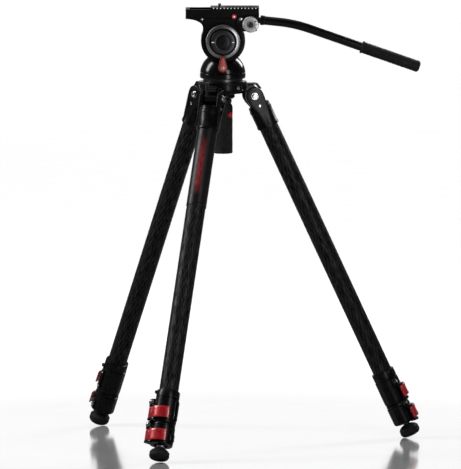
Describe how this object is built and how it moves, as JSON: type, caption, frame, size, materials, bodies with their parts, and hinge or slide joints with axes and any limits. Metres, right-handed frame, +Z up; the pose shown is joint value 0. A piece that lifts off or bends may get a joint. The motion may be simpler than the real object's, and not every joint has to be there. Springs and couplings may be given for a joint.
{
  "type": "tripod with fluid head",
  "caption": "Folding carbon-fibre video tripod with flip-lock leg sections, a levelling bowl, and a fluid head with a sliding camera plate and an angled pan handle.",
  "frame": {"origin": "middle of the whole part's footprint, on the floor that the feet stand on", "axes": "+Z up, the lens looks along -X, the pan handle points along +X, and the side with the drag ring and the handle faces -Y"},
  "size_m": [0.6262, 0.6557, 0.8285],
  "materials": {
    "painted_casting": "black satin painted casting",
    "black_plastic": "satin moulded",
    "carbon_tube": "woven carbon fibre under clear coat",
    "rubber": "matt",
    "red_lever": "red anodised look",
    "bright_steel": "bright",
    "grey_metal": "knurled grey anodised"
  },
  "bodies": {
    "spider": {"spider": "painted_casting"},
    "front_leg": {"front_leg_yoke": "painted_casting", "front_pivot_bolt": "bright_steel", "front_upper_tube": "carbon_tube", "front_upper_lock": "painted_casting"},
    "front_latch": {"front_angle_latch": "painted_casting"},
    "front_upper_lever": {"front_upper_lever": "red_lever"},
    "front_middle": {"front_middle_tube": "carbon_tube", "front_lower_lock": "painted_casting"},
    "front_lower_lever": {"front_lower_lever": "red_lever"},
    "front_lower": {"front_lower_tube": "carbon_tube", "front_foot": "rubber"},
    "right_leg": {"right_leg_yoke": "painted_casting", "right_pivot_bolt": "bright_steel", "right_upper_tube": "carbon_tube", "right_upper_lock": "painted_casting"},
    "right_latch": {"right_angle_latch": "painted_casting"},
    "right_upper_lever": {"right_upper_lever": "red_lever"},
    "right_middle": {"right_middle_tube": "carbon_tube", "right_lower_lock": "painted_casting"},
    "right_lower_lever": {"right_lower_lever": "red_lever"},
    "right_lower": {"right_lower_tube": "carbon_tube", "right_foot": "rubber"},
    "left_leg": {"left_leg_yoke": "painted_casting", "left_pivot_bolt": "bright_steel", "left_upper_tube": "carbon_tube", "left_upper_lock": "painted_casting"},
    "left_latch": {"left_angle_latch": "painted_casting"},
    "left_upper_lever": {"left_upper_lever": "red_lever"},
    "left_middle": {"left_middle_tube": "carbon_tube", "left_lower_lock": "painted_casting"},
    "left_lower_lever": {"left_lower_lever": "red_lever"},
    "left_lower": {"left_lower_tube": "carbon_tube", "left_foot": "rubber"},
    "level_dish": {"clamp_dish": "painted_casting"},
    "head_base": {"half_ball": "grey_metal", "clamp_stud": "bright_steel", "base_ring": "painted_casting"},
    "bowl_clamp_grip": {"bowl_grip": "rubber"},
    "grip_lock": {"grip_lock": "red_lever"},
    "pan": {"pan_base": "painted_casting", "lever_screw": "bright_steel"},
    "pan_lock": {"pan_lock_lever": "red_lever"},
    "tilt": {"tilt_body": "painted_casting", "tilt_axle": "bright_steel", "drag_cap": "black_plastic", "side_cap": "black_plastic", "platform": "painted_casting", "handle_mount": "painted_casting", "rosette": "bright_steel"},
    "drag": {"drag_ring": "grey_metal"},
    "plate": {"camera_plate": "painted_casting", "plate_pad": "rubber"},
    "camera_screw": {"camera_screw": "bright_steel"},
    "release_button": {"plate_release_button": "red_lever"},
    "lock_knob": {"plate_lock_knob": "black_plastic"},
    "handle": {"handle_clamp": "bright_steel", "pan_handle": "painted_casting", "handle_grip": "rubber"},
    "rosette_bolt": {"rosette_bolt": "black_plastic"}
  },
  "joints": [
    {"name": "front_leg_spread", "type": "hinge", "parent": "spider", "child": "front_leg", "pos_m": [-0.07801, -0.02477, 0.654], "axis": [-0.9438, 0.3305, 0], "range_deg": [-25, 0]},
    {"name": "front_latch_flip", "type": "hinge", "parent": "spider", "child": "front_latch", "pos_m": [-0.0747, -0.01533, 0.6763], "axis": [-0.9438, 0.3305, 0], "range_deg": [0, 50], "stiffness_Nm_per_rad": 0.05, "springref_deg": -11.46},
    {"name": "front_upper_lever_open", "type": "hinge", "parent": "front_leg", "child": "front_upper_lever", "pos_m": [-0.19354, -0.28554, 0.092], "axis": [-0.1397, -0.3989, -0.9063], "range_deg": [0, 110]},
    {"name": "front_lower_lever_open", "type": "hinge", "parent": "front_middle", "child": "front_lower_lever", "pos_m": [-0.19975, -0.30329, 0.05167], "axis": [-0.1397, -0.3989, -0.9063], "range_deg": [0, 110]},
    {"name": "front_middle_slide", "type": "slide", "parent": "front_leg", "child": "front_middle", "axis": [-0.1397, -0.3989, -0.9063], "range_m": [0, 0.4]},
    {"name": "front_lower_slide", "type": "slide", "parent": "front_middle", "child": "front_lower", "axis": [-0.1397, -0.3989, -0.9063], "range_m": [0, 0.4]},
    {"name": "right_leg_spread", "type": "hinge", "parent": "spider", "child": "right_leg", "pos_m": [-0.0025, 0.04018, 0.654], "axis": [0.1857, -0.9826, 0], "range_deg": [-25, 0]},
    {"name": "right_latch_flip", "type": "hinge", "parent": "spider", "child": "right_latch", "pos_m": [-0.01233, 0.03832, 0.6763], "axis": [0.1857, -0.9826, 0], "range_deg": [0, 50], "stiffness_Nm_per_rad": 0.05, "springref_deg": -11.46},
    {"name": "right_upper_lever_open", "type": "hinge", "parent": "right_leg", "child": "right_upper_lever", "pos_m": [0.2811, 0.07051, 0.092], "axis": [0.4153, 0.0785, -0.9063], "range_deg": [0, 110]},
    {"name": "right_lower_lever_open", "type": "hinge", "parent": "right_middle", "child": "right_lower_lever", "pos_m": [0.29958, 0.074, 0.05167], "axis": [0.4153, 0.0785, -0.9063], "range_deg": [0, 110]},
    {"name": "right_middle_slide", "type": "slide", "parent": "right_leg", "child": "right_middle", "axis": [0.4153, 0.0785, -0.9063], "range_m": [0, 0.4]},
    {"name": "right_lower_slide", "type": "slide", "parent": "right_middle", "child": "right_lower", "axis": [0.4153, 0.0785, -0.9063], "range_m": [0, 0.4]},
    {"name": "left_leg_spread", "type": "hinge", "parent": "spider", "child": "left_leg", "pos_m": [-0.0965, 0.07309, 0.654], "axis": [0.7581, 0.6521, 0], "range_deg": [-25, 0]},
    {"name": "left_latch_flip", "type": "hinge", "parent": "spider", "child": "left_latch", "pos_m": [-0.08997, 0.06551, 0.6763], "axis": [0.7581, 0.6521, 0], "range_deg": [0, 50], "stiffness_Nm_per_rad": 0.05, "springref_deg": -11.46},
    {"name": "left_upper_lever_open", "type": "hinge", "parent": "left_leg", "child": "left_upper_lever", "pos_m": [-0.26456, 0.30354, 0.092], "axis": [-0.2756, 0.3204, -0.9063], "range_deg": [0, 110]},
    {"name": "left_lower_lever_open", "type": "hinge", "parent": "left_middle", "child": "left_lower_lever", "pos_m": [-0.27683, 0.31779, 0.05167], "axis": [-0.2756, 0.3204, -0.9063], "range_deg": [0, 110]},
    {"name": "left_middle_slide", "type": "slide", "parent": "left_leg", "child": "left_middle", "axis": [-0.2756, 0.3204, -0.9063], "range_m": [0, 0.4]},
    {"name": "left_lower_slide", "type": "slide", "parent": "left_middle", "child": "left_lower", "axis": [-0.2756, 0.3204, -0.9063], "range_m": [0, 0.4]},
    {"name": "level_sideways", "type": "hinge", "parent": "spider", "child": "level_dish", "pos_m": [-0.059, 0.0295, 0.683], "axis": [1, 0, 0], "range_deg": [-5, 5]},
    {"name": "level_fore_aft", "type": "hinge", "parent": "level_dish", "child": "head_base", "pos_m": [-0.059, 0.0295, 0.683], "axis": [0, 1, 0], "range_deg": [-5, 5]},
    {"name": "grip_turn", "type": "hinge", "parent": "head_base", "child": "bowl_clamp_grip", "pos_m": [-0.059, 0.0295, 0.6], "axis": [0, 0, 1], "continuous": true},
    {"name": "grip_lock_press", "type": "slide", "parent": "bowl_clamp_grip", "child": "grip_lock", "axis": [-0.7071, 0.7071, 0], "range_m": [0, 0.002], "stiffness_N_per_m": 400, "springref_m": -0.003},
    {"name": "pan_turn", "type": "hinge", "parent": "head_base", "child": "pan", "pos_m": [-0.059, 0.0295, 0.7], "axis": [0, 0, 1], "continuous": true},
    {"name": "pan_lock_turn", "type": "hinge", "parent": "pan", "child": "pan_lock", "pos_m": [-0.059, -0.0165, 0.711], "axis": [0, -1, 0], "range_deg": [0, 90]},
    {"name": "tilt_turn", "type": "hinge", "parent": "pan", "child": "tilt", "pos_m": [-0.0585, 0.0295, 0.759], "axis": [0, -1, 0], "range_deg": [-65, 65]},
    {"name": "drag_turn", "type": "hinge", "parent": "tilt", "child": "drag", "pos_m": [-0.0585, 0.0295, 0.759], "axis": [0, -1, 0], "range_deg": [-150, 150]},
    {"name": "plate_slide", "type": "slide", "parent": "tilt", "child": "plate", "axis": [1, 0, 0], "range_m": [-0.038, 0]},
    {"name": "camera_screw_turn", "type": "hinge", "parent": "plate", "child": "camera_screw", "pos_m": [-0.0648, 0.0295, 0.82], "axis": [0, 0, 1], "continuous": true},
    {"name": "release_press", "type": "slide", "parent": "tilt", "child": "release_button", "axis": [0, 1, 0], "range_m": [0, 0.0016], "stiffness_N_per_m": 500, "springref_m": -0.003},
    {"name": "plate_lock_turn", "type": "hinge", "parent": "tilt", "child": "lock_knob", "pos_m": [-0.049, 0.0595, 0.8095], "axis": [0, 1, 0], "range_deg": [0, 75]},
    {"name": "handle_angle", "type": "hinge", "parent": "tilt", "child": "handle", "pos_m": [-0.0067, -0.007, 0.7919], "axis": [0, 1, 0], "range_deg": [-90, 60]},
    {"name": "rosette_bolt_turn", "type": "hinge", "parent": "tilt", "child": "rosette_bolt", "pos_m": [-0.0067, -0.0105, 0.7919], "axis": [0, -1, 0], "continuous": true}
  ]
}
